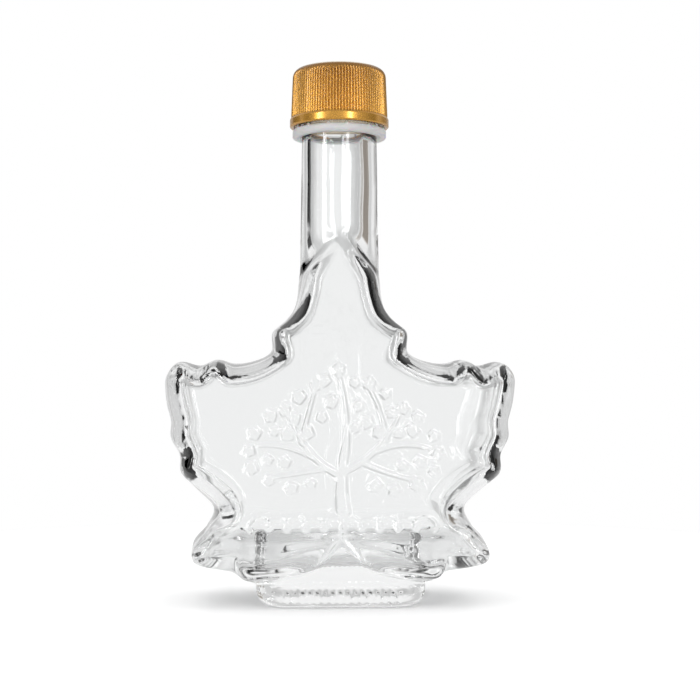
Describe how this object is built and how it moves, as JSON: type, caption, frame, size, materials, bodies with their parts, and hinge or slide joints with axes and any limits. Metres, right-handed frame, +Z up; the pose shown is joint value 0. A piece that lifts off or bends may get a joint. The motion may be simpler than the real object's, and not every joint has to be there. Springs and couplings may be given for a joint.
{
  "type": "leaf-shaped glass bottle",
  "caption": "Empty clear glass bottle shaped like a leaf, with a round neck, a slab foot, a ribbed gold screw cap and a loose pale tamper ring under it.",
  "frame": {"origin": "middle of the flat base, on the surface that the bottle stands on", "axes": "+Z up along the neck, the front face with the relief looks to -Y, +X to the right seen from the front"},
  "size_m": [0.1114, 0.05, 0.1693],
  "materials": {
    "glass": "clear, fire-polished, slightly wavy",
    "gold_cap": "gold pigment in glossy moulded plastic",
    "clear_plastic": "translucent, satin"
  },
  "bodies": {
    "root": {"bottle": "glass", "cap": "gold_cap", "ring": "clear_plastic"}
  },
  "joints": []
}
